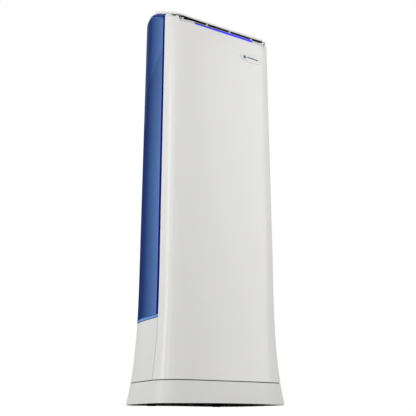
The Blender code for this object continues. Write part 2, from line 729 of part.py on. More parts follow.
def build_cassette(frame_mat, pad_mat, mesh_mat, grille_mat):
    frame = box("pad_frame", -CAS_X, CAS_X, CAS_Y0, 0.1175, CAS_Z0, CAS_Z1, frame_mat)
    t = 0.0022
    cut(frame, boxes("pad_frame_core", [
        (-CAS_X + t, CAS_X - t, CAS_Y0 + t, 0.20, CAS_Z0 + t, CAS_Z1 - t)], coll=CUTTERS))
    rows = []
    zs = np.linspace(CAS_Z0 + 0.012, CAS_Z1 - 0.012, 6)
    for k in range(5):
        for x0, x1 in ((-0.084, -0.004), (0.004, 0.084)):
            rows.append((x0, x1, 0.03, CAS_Y0 + 0.01, float(zs[k]) + 0.004, float(zs[k + 1]) - 0.004))
    rows.append((-0.080, 0.080, 0.070, 0.100, CAS_Z1 - 0.01, CAS_Z1 + 0.01))
    rows.append((-0.080, 0.080, 0.070, 0.100, CAS_Z0 - 0.01, CAS_Z0 + 0.01))
    cut(frame, boxes("pad_frame_windows", rows, coll=CUTTERS))
    g = 0.0005
    box("wet_pad", -CAS_X + t + g, CAS_X - t - g, CAS_Y0 + t + g, 0.1085, CAS_Z0 + t + g,
        CAS_Z1 - t - g, pad_mat)
    filt = box("dust_filter", -CAS_X + t + g, CAS_X - t - g, 0.1090, 0.1115, CAS_Z0 + t + g,
               CAS_Z1 - t - g, mesh_mat)
    cells = []
    zf = np.linspace(CAS_Z0 + 0.006, CAS_Z1 - 0.006, 7)
    for k in range(6):
        for x0, x1 in ((-0.0885, -0.0315), (-0.0285, 0.0285), (0.0315, 0.0885)):
            cells.append((x0, x1, 0.1098, 0.13, float(zf[k]) + 0.0015, float(zf[k + 1]) - 0.0015))
    cut(filt, boxes("filter_cells", cells, coll=CUTTERS))

    xs = [-GRILLE_X + 2 * GRILLE_X * i / 8 for i in range(9)]
    levels = [GRILLE_Z0, 0.29, FLARE_TOP, GRILLE_Z1]
    outer = [[(x, rear_y(x, z), z) for x in xs] for z in levels]
    inner = [[(x, rear_y(x, z) - WALL, z) for x in xs] for z in levels]
    grille = wall("rear_grille", outer, inner, grille_mat, False, smooth=30)
    slots = []
    count = 20
    pitch = (GRILLE_Z1 - GRILLE_Z0 - 0.050) / count
    for k in range(count):
        z = GRILLE_Z0 + 0.025 + pitch * k
        for x0, x1 in ((-0.0900, -0.0030), (0.0030, 0.0900)):
            slots.append((x0, x1, 0.08, 0.20, z + 0.0075, z + pitch - 0.0075))
    cut(grille, boxes("grille_slots", slots, coll=CUTTERS))
    return frame


def build_water(pump_mat, hose_mat, tray_mat, dark_mat):
    px, py = PUMP_X, PUMP_Y
    body = lathe("pump_body", [(0.0, 0.0300), (0.0150, 0.0300), (0.0150, 0.0135), (0.0215, 0.0135),
                               (0.0215, 0.0520), (0.0195, 0.0540), (0.0, 0.0540)],
                 (px, py, 0), "Z", pump_mat, 28)
    spout = lathe("pump_spout", [(0, 0.0180), (0.0050, 0.0180), (0.0050, 0.0400), (0, 0.0400)],
                  (px, py, 0.0225), "X", None, 16, coll=CUTTERS)
    cut(body, spout, "UNION")
    cut(body, cylinder("pump_bore", (px, py, 0.0225), "X", 0.0030, 0.0120, 0.0450, seg=14,
                       coll=CUTTERS))
    strainer = lathe("pump_strainer", [(0, 0.0094), (0.0235, 0.0094), (0.0235, 0.0130),
                                       (0, 0.0130)], (px, py, 0), "Z", dark_mat, 28)
    cut(strainer, boxes("strainer_slots", [(px - 0.010, px + 0.010, py + d - 0.0012, py + d + 0.0012,
                                            0.0, 0.03) for d in (-0.009, -0.003, 0.003, 0.009)],
                        coll=CUTTERS))
    wheel = lathe("pump_impeller", [(0, 0.0150), (0.0040, 0.0150), (0.0040, 0.0240),
                                    (0.0125, 0.0240), (0.0125, 0.0262), (0, 0.0262)],
                  (px, py, 0), "Z", dark_mat, 24, origin=(px, py, 0.0200))
    vanes = boxes("impeller_vanes", [(px - 0.0118, px + 0.0118, py - 0.0009, py + 0.0009, 0.0160,
                                      0.0245)], coll=CUTTERS)
    cut(wheel, vanes, "UNION")
    cut(wheel, boxes("impeller_vanes_2", [(px - 0.0009, px + 0.0009, py - 0.0118, py + 0.0118, 0.0160,
                                           0.0245)], coll=CUTTERS), "UNION")
    hx, hy = 0.0840, 0.0300
    path = round_path([(px + 0.0403, py, 0.0225), (0.0905, py, 0.0225), (0.0905, hy, 0.0500),
                       (hx, hy, 0.20), (hx, hy, 0.8330), (hx, 0.0840, 0.8330),
                       (hx - 0.03, 0.0840, 0.8330), (hx - 0.03, 0.0840, 0.8200)], 0.008, 3)
    tube("riser_hose", path, 0.0042, hose_mat, hollow=0.0014, resolution=1)
    tray = box("distributor", -0.0968, 0.0968, 0.0660, 0.1040, 0.8080, 0.8190, tray_mat)
    cut(tray, boxes("tray_hollow", [(-0.0953, 0.0953, 0.0675, 0.1025, 0.8096, 0.83)],
                    coll=CUTTERS))
    for i in range(5):
        cut(tray, cylinder(f"tray_drip_{i + 1}", (-0.072 + 0.036 * i, 0.085, 0.81), "Z", 0.0022,
                           -0.01, 0.01, seg=10, coll=CUTTERS))
    return body


def build_float(mat, bracket_mat):
    x, y, z = FLOAT_X, FLOAT_Y, FLOAT_Z
    bracket = box("float_bracket", x - 0.011, x + 0.011, y - 0.0300, y + 0.006, 0.0094,
                  z + 0.024, bracket_mat)
    cut(bracket, boxes("bracket_hollow", [(x - 0.0085, x + 0.0085, y - 0.0270, y + 0.02, z - 0.022,
                                           z + 0.0215)], coll=CUTTERS))
    cut(bracket, cylinder("bracket_pin_hole", (0, y, z), "X", 0.0023, x - 0.02, x + 0.02, seg=14,
                          coll=CUTTERS))
    arm = box("float_arm", x - 0.0070, x + 0.0070, y - 0.0035, y + 0.0400, z - 0.0025, z + 0.0015,
              mat, origin=(x, y, z))
    cut(arm, cylinder("arm_pin", (0, y, z), "X", 0.0018, x - 0.0108, x + 0.0108, seg=14,
                      coll=CUTTERS), "UNION")
    cut(arm, box("arm_float", x - 0.014, x + 0.014, y + 0.0250, y + 0.0550, z - 0.0150, z + 0.0030,
                 coll=CUTTERS), "UNION")
    return arm


# ---------------------------------------------------------------- fan

def build_fan(deck_mat, wheel_mat, motor_mat, steel_mat, baffle_mat):
    fy = FAN_Y
    deck = box("fan_deck", -0.1085, 0.1085, -0.1020, 0.1100, DECK_Z, DECK_Z + 0.003, deck_mat)
    ring = lathe("deck_collar", [(0.0700, DECK_Z + 0.001), (0.0730, DECK_Z + 0.001),
                                 (0.0730, 0.8720), (0.0700, 0.8720)], (0, fy, 0), "Z", None, 40,
                 coll=CUTTERS)
    cut(deck, cylinder("deck_hole", (0, fy, DECK_Z), "Z", 0.0715, -0.01, 0.004, seg=40,
                       coll=CUTTERS))
    cut(deck, ring, "UNION")
    wheel = lathe("fan_wheel", [(0.0058, 0.9000), (0.0160, 0.9000), (0.0200, 0.9290),
                                (FAN_R, 0.9290), (FAN_R, 0.9310), (0.0160, 0.9310),
                                (0.0160, 0.9330), (0.0058, 0.9330)],
                  (0, fy, 0), "Z", wheel_mat, 32, origin=(0, fy, 0.90))
    outlines = []
    for b in range(12):
        outline = []
        for s, side in ((0.0, 1), (0.5, 1), (1.0, 1), (1.0, -1), (0.5, -1), (0.0, -1)):
            r = 0.0560 + (FAN_R - 0.0010 - 0.0560) * s
            ang = 2 * math.pi * b / 12 - 0.42 * s + side * 0.0009 / r
            outline.append((r * math.cos(ang), fy + r * math.sin(ang)))
        outlines.append(outline)
    blades = prisms("fan_blades", outlines, 0.8765, 0.9300, coll=CUTTERS)
    cut(wheel, blades, "UNION")
    shroud = lathe("fan_shroud", [(0.0760, 0.8750), (FAN_R, 0.8780), (FAN_R, 0.8795),
                                  (0.0760, 0.8765)], (0, fy, 0), "Z", None, 32, coll=CUTTERS)
    cut(wheel, shroud, "UNION")
    lathe("fan_motor", [(0, 0.9020), (0.0050, 0.9020), (0.0050, MOTOR_Z0), (0.0300, MOTOR_Z0),
                        (0.0340, MOTOR_Z0 + 0.004), (0.0340, MOTOR_Z1 - 0.004), (0.0300, MOTOR_Z1),
                        (0, MOTOR_Z1)], (0, fy, 0), "Z", motor_mat, 32)
    z = MOTOR_Z1 + 0.0004
    bracket = boxes("motor_bracket", [(-0.1020, 0.1020, fy - 0.012, fy + 0.012, z, z + 0.0030)],
                    steel_mat)
    legs = boxes("bracket_legs", [(-0.1020, -0.0990, fy - 0.012, fy + 0.012, DECK_Z + 0.0034, z + 0.001),
                                  (0.0990, 0.1020, fy - 0.012, fy + 0.012, DECK_Z + 0.0034, z + 0.001)],
                 coll=CUTTERS)
    cut(bracket, legs, "UNION")
    feet = boxes("bracket_feet", [(-0.1075, -0.0995, fy - 0.012, fy + 0.012, DECK_Z + 0.0034,
                                   DECK_Z + 0.0060),
                                  (0.0995, 0.1075, fy - 0.012, fy + 0.012, DECK_Z + 0.0034,
                                   DECK_Z + 0.0060)], coll=CUTTERS)
    cut(bracket, feet, "UNION")
    arc = [math.radians(a) for a in (0, 15, 30, 45, 60, 75, 90)]
    line = [(0.1000, DECK_Z + 0.0034)]
    line += [(0.0400 + 0.0600 * math.cos(a), 0.9950 + 0.0600 * math.sin(a)) for a in arc]
    line += [(0.0, 1.0560), (-0.0500, 1.0540), (-0.1020, 1.0480)]
    outer = [[(x, y, zz) for y, zz in line] for x in (-0.1030, 0.1030)]
    inner = [[(x, y, zz - 0.002) if i > 3 else (x, y - 0.002, zz) for i, (y, zz) in enumerate(line)]
             for x in (-0.1030, 0.1030)]
    wall("air_guide", outer, inner, baffle_mat, False)
    return wheel


# ---------------------------------------------------------------- controls and electrics

def build_controls(panel_mat, button_mat, board_mat, carrier_mat):
    top = TOP_Z
    panel = box("control_panel", -0.0600, 0.0600, BUTTON_Y - 0.0210, BUTTON_Y + 0.0210,
                top + 0.0003, top + 0.0015, panel_mat)
    for i, x in enumerate(BUTTON_XS):
        cut(panel, cylinder(f"panel_hole_{i + 1}", (x, BUTTON_Y, top), "Z", 0.0079, -0.01, 0.01,
                            seg=20, coll=CUTTERS))
        lathe(f"button_{i + 1}", [(0, -0.0088), (0.0030, -0.0088), (0.0030, -0.0030),
                                  (0.0074, -0.0030), (0.0074, 0.0026), (0.0064, 0.0032),
                                  (0, 0.0032)],
              (x, BUTTON_Y, top), "Z", button_mat, 20, origin=(x, BUTTON_Y, top))
    y0, y1 = BUTTON_Y - 0.0260, BUTTON_Y + 0.0260
    carrier = box("board_carrier", -0.0600, 0.0600, y0, y1, top - 0.0155, top - WALL - 0.0018,
                  carrier_mat)
    cut(carrier, boxes("carrier_hollow", [(-0.0580, 0.0580, y0 + 0.002, y1 - 0.002, top - 0.0135,
                                           top)], coll=CUTTERS))
    box("control_board", -0.0574, 0.0574, y0 + 0.0026, y1 - 0.0026, top - 0.0132, top - 0.0116,
        board_mat)
    return panel


def build_electrics(box_mat, inlet_mat, lead_mat, plug_mat):
    case = box("power_box", -0.0500, 0.0500, -0.1290, -0.1006, 0.3000, 0.4200, box_mat)
    bevel(case, 0.0025)
    y_back = rear_y(-0.070, 0.116)
    inlet = box("power_inlet", -0.0840, -0.0560, y_back - 0.0240, y_back - 0.0010, 0.1050, 0.1270,
                inlet_mat)
    cut(inlet, boxes("inlet_recess", [(-0.0800, -0.0600, y_back - 0.0170, y_back + 0.02, 0.1100,
                                       0.1220)], coll=CUTTERS))
    cut(inlet, boxes("inlet_pins", [(-0.0752, -0.0730, y_back - 0.0180, y_back - 0.0050, 0.1149,
                                     0.1171),
                                    (-0.0670, -0.0648, y_back - 0.0180, y_back - 0.0050, 0.1149,
                                     0.1171)], coll=CUTTERS), "UNION")
    tube("mains_lead", round_path([(-0.0700, y_back - 0.0244, 0.1160), (-0.0700, 0.0760, 0.1160),
                                   (-0.1220, 0.0680, 0.1160), (-0.1220, -0.1130, 0.1160),
                                   (-0.0440, -0.1150, 0.1400), (-0.0440, -0.1150, 0.2996)], 0.012),
         0.0030, lead_mat)
    y_skin = rear_y(0.085, 0.026)
    y_pan = rear_y(0.085, 0.05, 0.0155)
    lathe("drain_plug", [(0, y_pan - 0.008), (0.0070, y_pan - 0.008), (0.0076, y_pan - 0.004),
                         (0.0076, y_skin - 0.0085), (0.0118, y_skin - 0.0085),
                         (0.0118, y_skin - 0.0010), (0.0105, y_skin), (0, y_skin)],
          (0.085, 0, 0.026), "Y", plug_mat, 24, origin=(0.085, y_skin, 0.026))
    return case


def main():
    white = material("shell_white", (0.80, 0.80, 0.78), 0.38)
    white2 = material("rear_white", (0.72, 0.72, 0.71), 0.42)
    foot_white = material("skirt_white", (0.78, 0.78, 0.76), 0.40)
    hood_white = material("hood_white", (0.84, 0.84, 0.83), 0.32)
    frame_grey = material("mouth_grey", (0.62, 0.63, 0.64), 0.40)
    led = material("led_blue", (0.05, 0.08, 0.95), 0.30, glow=(0.03, 0.04, 0.95))
    badge = material("badge_silver", (0.66, 0.67, 0.69), 0.28, 0.6)
    tank = material("tank_blue", (0.05, 0.12, 0.42), 0.18, alpha=0.9)
    fitting = material("fitting_white", (0.75, 0.76, 0.76), 0.45)
    seal = material("seal_black", (0.03, 0.03, 0.03), 0.60)
    liner = material("liner_grey", (0.35, 0.36, 0.38), 0.55)
    inner = material("frame_grey", (0.42, 0.43, 0.45), 0.55)
    pan = material("pan_grey", (0.20, 0.21, 0.22), 0.55)
    rubber = material("foot_rubber", (0.03, 0.03, 0.03), 0.85)
    cassette = material("cassette_grey", (0.50, 0.51, 0.52), 0.50)
    pad = material("pad_cellulose", (0.33, 0.22, 0.11), 0.95)
    mesh = material("filter_mesh", (0.12, 0.13, 0.14), 0.80)
    grille = material("grille_white", (0.74, 0.74, 0.73), 0.40)
    pump = material("pump_black", (0.04, 0.04, 0.045), 0.45)
    dark = material("impeller_dark", (0.10, 0.10, 0.11), 0.50)
    hose = material("hose_clear", (0.70, 0.73, 0.74), 0.30)
    tray = material("tray_white", (0.70, 0.71, 0.72), 0.45)
    float_mat = material("float_orange", (0.72, 0.30, 0.05), 0.55)
    deck = material("deck_grey", (0.30, 0.31, 0.32), 0.55)
    wheel = material("wheel_black", (0.05, 0.05, 0.055), 0.45)
    motor = material("motor_steel", (0.45, 0.46, 0.48), 0.35, 0.9)
    steel = material("bracket_steel", (0.50, 0.51, 0.53), 0.40, 0.9)
    guide = material("guide_grey", (0.40, 0.41, 0.42), 0.55)
    panel = material("panel_black", (0.02, 0.02, 0.025), 0.15)
    button = material("button_grey", (0.55, 0.56, 0.58), 0.35)
    board = material("board_green", (0.02, 0.16, 0.07), 0.45)
    carrier = material("carrier_black", (0.06, 0.06, 0.06), 0.55)
    power = material("power_box_black", (0.05, 0.05, 0.05), 0.50)
    inlet = material("inlet_black", (0.03, 0.03, 0.03), 0.40)
    lead = material("lead_black", (0.03, 0.03, 0.03), 0.60)
    plug = material("plug_grey", (0.30, 0.31, 0.32), 0.70)

    build_skirt(foot_white)
    build_pan(pan)
    build_feet(rubber)
    build_shell("front_shell", FRONT_ARC, white)
    build_rear_shell(white2)
    build_hood(hood_white)
    build_mouth(frame_grey, led)
    build_badge(badge)
    build_tank(tank, fitting, seal)
    build_bay(liner, fitting)
    build_frame(inner)
    build_cassette(cassette, pad, mesh, grille)
    build_water(pump, hose, tray, dark)
    build_float(float_mat, carrier)
    build_fan(deck, wheel, motor, steel, guide)
    build_controls(panel, button, board, carrier)
    build_electrics(power, inlet, lead, plug)


main()
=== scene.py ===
"""Looks of the tower evaporative cooler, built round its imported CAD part."""
import json
import math

import bmesh
import bpy
import numpy as np
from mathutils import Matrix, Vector

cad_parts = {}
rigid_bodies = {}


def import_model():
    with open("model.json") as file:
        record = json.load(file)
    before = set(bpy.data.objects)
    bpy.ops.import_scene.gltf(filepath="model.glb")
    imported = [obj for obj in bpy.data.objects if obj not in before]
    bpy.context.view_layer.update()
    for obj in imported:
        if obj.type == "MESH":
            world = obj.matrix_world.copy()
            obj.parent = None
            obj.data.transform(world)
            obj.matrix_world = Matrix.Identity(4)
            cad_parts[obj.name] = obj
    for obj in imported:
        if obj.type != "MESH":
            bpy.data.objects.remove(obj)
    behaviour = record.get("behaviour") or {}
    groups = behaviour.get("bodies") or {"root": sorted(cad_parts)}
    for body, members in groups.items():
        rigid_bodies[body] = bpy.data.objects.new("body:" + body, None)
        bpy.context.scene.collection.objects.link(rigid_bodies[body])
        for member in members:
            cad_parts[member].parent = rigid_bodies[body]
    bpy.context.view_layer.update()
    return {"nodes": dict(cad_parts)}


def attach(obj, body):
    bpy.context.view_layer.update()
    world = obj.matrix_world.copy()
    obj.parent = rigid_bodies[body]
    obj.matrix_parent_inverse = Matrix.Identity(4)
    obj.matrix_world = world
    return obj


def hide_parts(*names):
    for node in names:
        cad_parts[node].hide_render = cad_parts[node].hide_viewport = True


for old in list(bpy.data.objects):
    bpy.data.objects.remove(old, do_unlink=True)
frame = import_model()
NODES = frame["nodes"]

# Body outline, as in the CAD part
HALF_WIDTH, DEPTH_FRONT, DEPTH_REAR, Y_WIDE = 0.1675, 0.0996, 0.1665, -0.0335
SQUARE_FRONT, SQUARE_FOOT, SQUARE_REAR = 6.5, 5.0, 3.14
FLARE, FLARE_TOP, FLARE_POWER = 0.0245, 0.3895, 3.44
WALL, GAP = 0.003, 0.0004
SKIRT_LOW, SKIRT_TOP, SHELL_LOW = 0.0030, 0.0535, 0.0560
TANK_LOW, TANK_Y0, TANK_Y1, TANK_IN, TANK_WALL = 0.2075, -0.0783, 0.0846, -0.1150, 0.0024
RIM_Z, LIP_Z, LIP_Y, LIP_RISE = 1.0317, 1.0512, -0.1331, 0.0052
DOME_SLOPE, TOP_Z, TOP_BLEND = 0.58, 1.1405, 0.0040
HOOD_DROP, HOOD_LIP, SHOULDER, HOOD_INSET, HOOD_MID_Y = 0.0105, 0.0055, 0.0135, 0.0125, 0.05
SEAM_ANGLE = 0.2668
BADGE = (0.0900, 0.9760, 0.0380, 0.0135)
SEAM_TURN = 0.0075                      # angle between the rear shell's edge and the front's
GRILLE_WINDOW = (-0.1041, 0.1041, 0.06, 0.30, 0.2354, 0.8146)
INLET_WINDOW = (-0.0845, -0.0555, 0.06, 0.30, 0.1045, 0.1275)
PLUG_X, PLUG_Z, PLUG_HOLE = 0.085, 0.026, 0.0125
BUTTON_XS, BUTTON_Y, BUTTON_HOLE = (-0.039, -0.013, 0.013, 0.039), 0.052, 0.0082


# ---------------------------------------------------------------- outline

def flare(z):
    return FLARE * max(0.0, 1.0 - z / FLARE_TOP) ** FLARE_POWER


def squareness(z):
    k = max(0.0, 1.0 - z / FLARE_TOP)
    return SQUARE_FRONT + (SQUARE_FOOT - SQUARE_FRONT) * k


def raw_point(theta, half_w, front, rear, power):
    c, s = math.cos(theta), math.sin(theta)
    depth, n = (front, power) if s < 0 else (rear, SQUARE_REAR)
    r = ((abs(c) / half_w) ** n + (abs(s) / depth) ** n) ** (-1.0 / n)
    return r * c, r * s


def plan(theta, z, inset=0.0, size=(HALF_WIDTH, DEPTH_FRONT, DEPTH_REAR)):
    n = squareness(z)
    x0, y0 = raw_point(theta - 1e-4, *size, n)
    x1, y1 = raw_point(theta + 1e-4, *size, n)
    x, y = raw_point(theta, *size, n)
    tx, ty = x1 - x0, y1 - y0
    length = math.hypot(tx, ty)
    nx, ny = ty / length, -tx / length
    out = flare(z) - inset
    return x + nx * out, y + ny * out + Y_WIDE, nx, ny


def dome(y):
    """Height of the hood's top over the line y."""
    run = max(0.0, y - LIP_Y)
    slope = LIP_Z + LIP_RISE * (1.0 - math.exp(-run / 0.012)) + DOME_SLOPE * run
    return TOP_Z - TOP_BLEND * math.log1p(math.exp((TOP_Z - slope) / TOP_BLEND))


def spread(theta0, theta1, turn=3.0, chord=0.012, sag=0.00012):
    dense = np.linspace(theta0, theta1, 2400)
    pts = [plan(t, 0.6) for t in dense]
    picked = [0]
    for i in range(1, len(dense)):
        a, b = pts[picked[-1]], pts[i]
        dot = max(-1.0, min(1.0, a[2] * b[2] + a[3] * b[3]))
        bend = abs(dome((a[1] + b[1]) / 2) - (dome(a[1]) + dome(b[1])) / 2)
        far = math.hypot(b[0] - a[0], b[1] - a[1]) > chord
        if math.degrees(math.acos(dot)) > turn or far or bend > sag:
            picked.append(i)
    if len(dense) - 1 - picked[-1] < 12:
        picked.pop()
    picked.append(len(dense) - 1)
    return [float(dense[i]) for i in picked]


FRONT_ARC = spread(math.pi + SEAM_ANGLE, 2 * math.pi - SEAM_ANGLE)
REAR_ARC = spread(-SEAM_ANGLE, math.pi + SEAM_ANGLE)
FULL_RING = REAR_ARC[:-1] + FRONT_ARC[:-1]


def flank_weight(nx, ny):
    if ny > 0:
        return 1.0
    k = min(1.0, max(0.0, (abs(nx) - 0.35) / 0.55))
    return k * k * (3.0 - 2.0 * k)


def corner_rise(nx, ny):
    """0 along the outlet, 1 once the shell's edge has climbed to the hood past its ends."""
    if ny > 0:
        return 1.0
    k = min(1.0, max(0.0, (abs(nx) - 0.33) / 0.12))
    return k * k * (3.0 - 2.0 * k)


def side_x(y, z, inset=0.0):
    ts = np.linspace(math.pi * 0.62, math.pi * 1.16, 300)
    pts = [plan(float(t), z, inset) for t in ts]
    return float(np.interp(-y, [-p[1] for p in pts], [p[0] for p in pts]))


def front_y(x, z=0.6, inset=0.0):
    ts = np.linspace(math.pi + 0.2, 2 * math.pi - 0.2, 300)
    pts = [plan(float(t), z, inset) for t in ts]
    return float(np.interp(x, [p[0] for p in pts], [p[1] for p in pts]))


# ---------------------------------------------------------------- meshes

def make(name, verts, faces, mat=None, smooth=40):
    mesh = bpy.data.meshes.new(name)
    mesh.from_pydata([tuple(v) for v in verts], [], faces)
    mesh.validate()
    bm = bmesh.new()
    bm.from_mesh(mesh)
    bmesh.ops.recalc_face_normals(bm, faces=bm.faces)
    bm.to_mesh(mesh)
    bm.free()
    if mat:
        mesh.materials.append(mat)
    obj = bpy.data.objects.new(name, mesh)
    bpy.context.scene.collection.objects.link(obj)
    if smooth:
        mesh.shade_smooth()
        mesh.set_sharp_from_angle(angle=math.radians(smooth))
    return obj


def wall(name, outer, inner, mat, closed, smooth=40):
    levels, cols = len(outer), len(outer[0])
    verts = [p for row in outer for p in row] + [p for row in inner for p in row]
    base = levels * cols
    faces = []
    last = cols if closed else cols - 1
    for k in range(levels - 1):
        for i in range(last):
            j = (i + 1) % cols
            a, b, c, d = k * cols + i, k * cols + j, (k + 1) * cols + j, (k + 1) * cols + i
            faces.append((a, b, c, d))
            faces.append((base + d, base + c, base + b, base + a))
    top = (levels - 1) * cols
    for i in range(last):
        j = (i + 1) % cols
        faces.append((j, i, base + i, base + j))
        faces.append((top + i, top + j, base + top + j, base + top + i))
    if not closed:
        for k in range(levels - 1):
            a, d = k * cols, (k + 1) * cols
            faces.append((a, d, base + d, base + a))
            b, c = a + cols - 1, d + cols - 1
            faces.append((b, base + b, base + c, c))
    return make(name, verts, faces, mat, smooth)


def boxes(name, items, mat=None):
    verts, faces = [], []
    for x0, x1, y0, y1, z0, z1 in items:
        n = len(verts)
        verts += [(x, y, z) for z in (z0, z1) for y in (y0, y1) for x in (x0, x1)]
        faces += [tuple(n + i for i in f) for f in
                  [(0, 2, 3, 1), (4, 5, 7, 6), (0, 1, 5, 4), (2, 6, 7, 3), (0, 4, 6, 2),
                   (1, 3, 7, 5)]]
    return make(name, verts, faces, mat, None)


def turn_point(u, v, h, axis, c):
    if axis == "Z":
        return c[0] + u, c[1] + v, c[2] + h
    if axis == "X":
        return c[0] + h, c[1] + u, c[2] + v
    return c[0] + v, c[1] + h, c[2] + u


def lathe(name, profile, centre, axis, mat=None, seg=40, smooth=35):
    verts, rings, faces = [], [], []
    for r, h in profile:
        if r < 1e-9:
            rings.append([len(verts)] * seg)
            verts.append(turn_point(0, 0, h, axis, centre))
            continue
        rings.append(list(range(len(verts), len(verts) + seg)))
        verts += [turn_point(r * math.cos(2 * math.pi * i / seg), r * math.sin(2 * math.pi * i / seg),
                             h, axis, centre) for i in range(seg)]
    for k in range(len(rings)):
        lo, hi = rings[k], rings[(k + 1) % len(rings)]
        if lo[0] == lo[1] and hi[0] == hi[1]:
            continue
        for i in range(seg):
            j = (i + 1) % seg
            loop = []
            for v in (lo[i], lo[j], hi[j], hi[i]):
                if v not in loop:
                    loop.append(v)
            faces.append(tuple(loop))
    return make(name, verts, faces, mat, smooth)


def carve(obj, cutter):
    """Boolean difference, applied, then the cutter is removed."""
    mod = obj.modifiers.new("cut", "BOOLEAN")
    mod.object, mod.operation, mod.solver = cutter, "DIFFERENCE", "EXACT"
    bpy.context.view_layer.update()
    dg = bpy.context.evaluated_depsgraph_get()
    mesh = bpy.data.meshes.new_from_object(obj.evaluated_get(dg))
    obj.modifiers.clear()
    obj.data = mesh
    bpy.data.objects.remove(cutter, do_unlink=True)
    mesh.shade_smooth()
    mesh.set_sharp_from_angle(angle=math.radians(35))
    return obj


def soften(obj, width=0.0006, segments=2, angle=50):
    mod = obj.modifiers.new("soften", "BEVEL")
    mod.width, mod.segments, mod.limit_method = width, segments, "ANGLE"
    mod.angle_limit = math.radians(angle)
    mod.harden_normals = True
    return obj


# ---------------------------------------------------------------- materials

class Mat:
    """Small helper that wires one procedural material."""

    def __init__(self, name):
        self.mat = bpy.data.materials.new(name)
        self.mat.use_nodes = True
        self.tree = self.mat.node_tree
        self.bsdf = self.tree.nodes["Principled BSDF"]

    def node(self, kind, **inputs):
        n = self.tree.nodes.new(kind)
        for key, value in inputs.items():
            n.inputs[key.replace("_", " ")].default_value = value
        return n

    def link(self, a, b):
        self.tree.links.new(a, b)

    def coords(self, scale=(1, 1, 1)):
        tex = self.tree.nodes.new("ShaderNodeTexCoord")
        mapping = self.tree.nodes.new("ShaderNodeMapping")
        mapping.inputs["Scale"].default_value = scale
        self.link(tex.outputs["Object"], mapping.inputs["Vector"])
        return mapping.outputs["Vector"]

    def noise(self, scale, detail=3.0, stretch=(1, 1, 1), rough=0.5):
        n = self.node("ShaderNodeTexNoise", Scale=scale, Detail=detail, Roughness=rough)
        self.link(self.coords(stretch), n.inputs["Vector"])
        return n.outputs["Fac"]

    def ramp(self, source, stops, smooth=False):
        n = self.tree.nodes.new("ShaderNodeValToRGB")
        if smooth:
            n.color_ramp.interpolation = "EASE"
        elements = n.color_ramp.elements
        while len(elements) < len(stops):
            elements.new(0.5)
        for e, (pos, col) in zip(elements, stops):
            e.position = pos
            e.color = (*col, 1.0) if len(col) == 3 else col
        self.link(source, n.inputs["Fac"])
        return n.outputs["Color"]

    def span(self, source, low, high, to_low=0.0, to_high=1.0):
        n = self.node("ShaderNodeMapRange")
        n.inputs["From Min"].default_value, n.inputs["From Max"].default_value = low, high
        n.inputs["To Min"].default_value, n.inputs["To Max"].default_value = to_low, to_high
        self.link(source, n.inputs["Value"])
        return n.outputs["Result"]

    def math(self, kind, *values):
        n = self.tree.nodes.new("ShaderNodeMath")
        n.operation = kind
        for slot, value in zip(n.inputs, values):
            if isinstance(value, (int, float)):
                slot.default_value = value
            else:
                self.link(value, slot)
        return n.outputs[0]

    def blend(self, kind, factor, a, b):
        n = self.tree.nodes.new("ShaderNodeMix")
        n.data_type, n.blend_type = "RGBA", kind
        self.link(factor, n.inputs[0])
        self.link(a, n.inputs[6])
        self.link(b, n.inputs[7])
        return n.outputs[2]

    def scaled(self, colour, factor):
        n = self.tree.nodes.new("ShaderNodeVectorMath")
        n.operation = "SCALE"
        self.link(colour, n.inputs[0])
        self.link(factor, n.inputs["Scale"])
        return n.outputs[0]

    def axis(self, which):
        tex = self.tree.nodes.new("ShaderNodeTexCoord")
        sep = self.tree.nodes.new("ShaderNodeSeparateXYZ")
        self.link(tex.outputs["Object"], sep.inputs[0])
        return sep.outputs[which]

    def bump(self, source, strength, distance=0.0005):
        n = self.node("ShaderNodeBump", Strength=strength, Distance=distance)
        self.link(source, n.inputs["Height"])
        self.link(n.outputs["Normal"], self.bsdf.inputs["Normal"])


def tint(colour, k):
    return tuple(max(0.0, min(1.0, c * k)) for c in colour)


def plastic(name, colour, rough=0.4, vary=0.03, grain=900.0, bump=0.05, coat=0.0):
    """Moulded plastic: faint cloudy tone, fine spark-eroded grain, uneven sheen."""
    m = Mat(name)
    cloud = m.noise(7.0, 4.0)
    m.link(m.ramp(cloud, [(0.25, tint(colour, 1 - vary)), (0.75, tint(colour, 1 + vary))]),
           m.bsdf.inputs["Base Color"])
    m.link(m.span(m.noise(38.0, 5.0), 0.2, 0.8, rough * 0.9, rough * 1.12),
           m.bsdf.inputs["Roughness"])
    m.bsdf.inputs["Coat Weight"].default_value = coat
    m.bsdf.inputs["Coat Roughness"].default_value = 0.12
    if bump:
        m.bump(m.noise(grain, 2.0), bump, 0.0002)
    return m.mat


